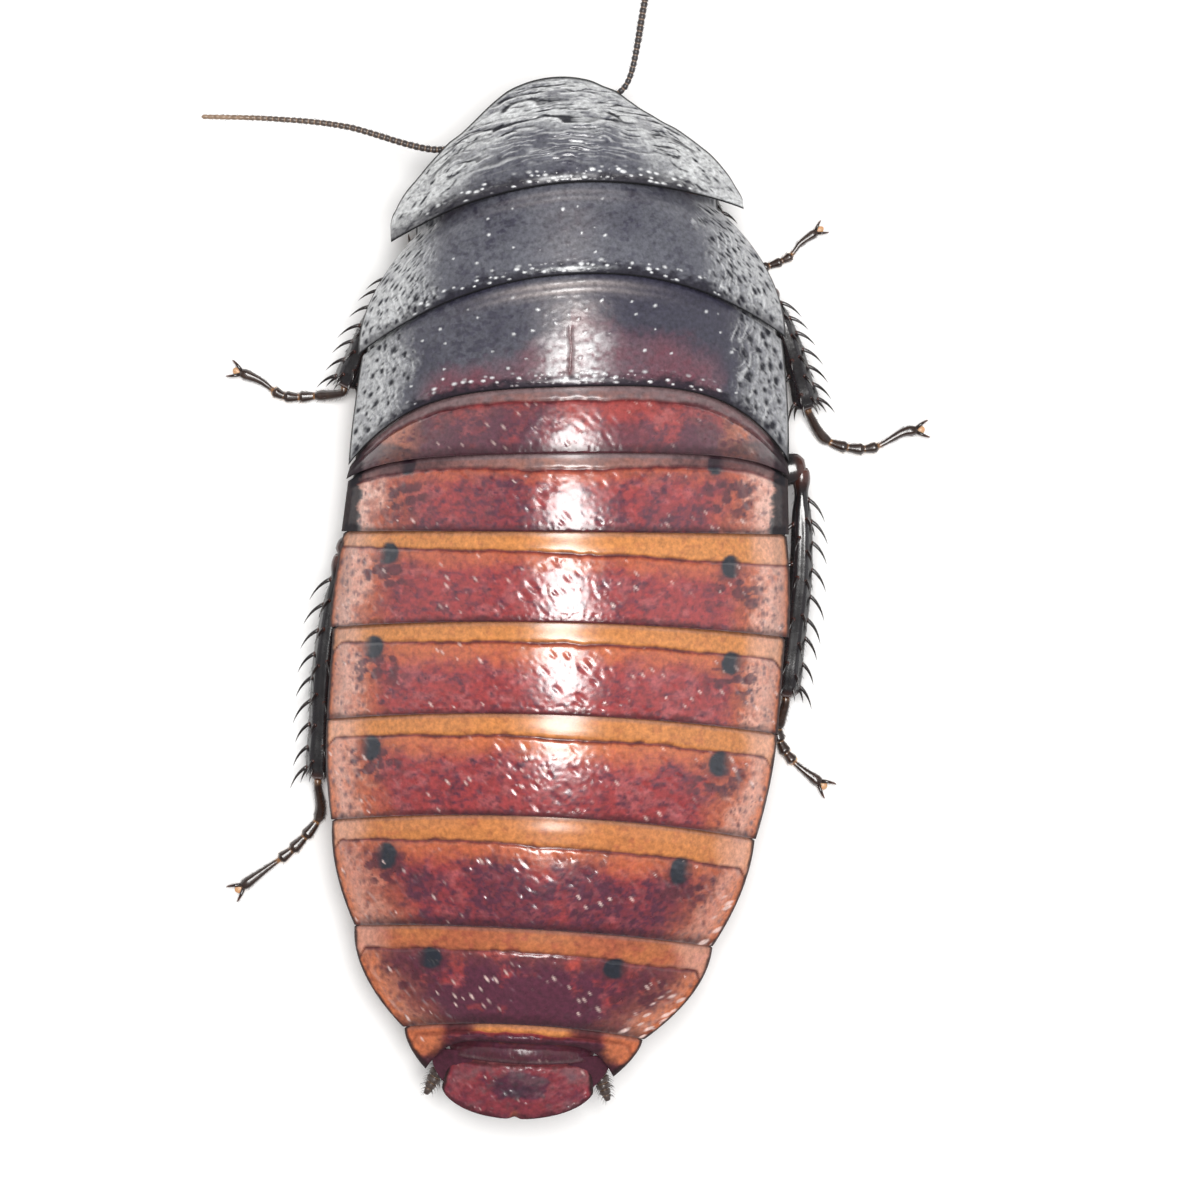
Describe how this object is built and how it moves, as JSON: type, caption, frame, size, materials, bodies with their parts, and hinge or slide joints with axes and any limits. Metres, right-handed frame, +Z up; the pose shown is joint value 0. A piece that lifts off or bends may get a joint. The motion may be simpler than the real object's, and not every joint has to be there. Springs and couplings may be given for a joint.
{
  "type": "madagascar hissing cockroach",
  "caption": "Life-size Madagascar hissing cockroach, a wingless adult standing on its own feet with a gently curved, banded body and both feelers spread.",
  "frame": {"origin": "on the floor under the middle of the bounding box", "axes": "+Z up, head towards -Y, the animal's left towards +X"},
  "size_m": [0.0426, 0.079, 0.014],
  "materials": {
    "graphite_shell": "satin, pitted chitin",
    "charcoal_shell": "satin, pitted chitin",
    "maroon_shell": "satin, pitted chitin",
    "orange_brown_shell": "satin, pitted chitin with ochre front bands and dark side spots",
    "belly_brown": "smooth satin chitin",
    "head_black": "glossy chitin",
    "eye_black": "glossy, finely faceted",
    "amber_lip": "glossy, slightly see-through chitin",
    "leg_black": "glossy chitin",
    "tarsus_brown": "glossy dark brown chitin with pale pads",
    "cercus_grey": "matt, finely ringed"
  },
  "bodies": {
    "root": {"antenna_left": "leg_black", "antenna_right": "leg_black", "cercus_left": "cercus_grey", "cercus_right": "cercus_grey", "coxa_fore_left": "leg_black", "coxa_fore_right": "leg_black", "coxa_hind_left": "leg_black", "coxa_hind_right": "leg_black", "coxa_mid_left": "leg_black", "coxa_mid_right": "leg_black", "eye_left": "eye_black", "eye_right": "eye_black", "femur_fore_left": "leg_black", "femur_fore_right": "leg_black", "femur_hind_left": "leg_black", "femur_hind_right": "leg_black", "femur_mid_left": "leg_black", "femur_mid_right": "leg_black", "head": "head_black", "labial_palp_left": "amber_lip", "labial_palp_right": "amber_lip", "labrum": "amber_lip", "maxillary_palp_left": "amber_lip", "maxillary_palp_right": "amber_lip", "mesonotum": "graphite_shell", "mesothorax": "belly_brown", "metanotum": "charcoal_shell", "metathorax": "belly_brown", "pronotum": "graphite_shell", "prothorax": "belly_brown", "sternite_2": "belly_brown", "sternite_3": "belly_brown", "sternite_4": "belly_brown", "sternite_5": "belly_brown", "sternite_6": "belly_brown", "sternite_7": "belly_brown", "tarsus_fore_left": "tarsus_brown", "tarsus_fore_right": "tarsus_brown", "tarsus_hind_left": "tarsus_brown", "tarsus_hind_right": "tarsus_brown", "tarsus_mid_left": "tarsus_brown", "tarsus_mid_right": "tarsus_brown", "tergite_1": "maroon_shell", "tergite_10": "maroon_shell", "tergite_2": "orange_brown_shell", "tergite_3": "orange_brown_shell", "tergite_4": "orange_brown_shell", "tergite_5": "orange_brown_shell", "tergite_6": "orange_brown_shell", "tergite_7": "orange_brown_shell", "tergite_8": "orange_brown_shell", "tergite_9": "orange_brown_shell", "tibia_fore_left": "leg_black", "tibia_fore_right": "leg_black", "tibia_hind_left": "leg_black", "tibia_hind_right": "leg_black", "tibia_mid_left": "leg_black", "tibia_mid_right": "leg_black"}
  },
  "joints": []
}
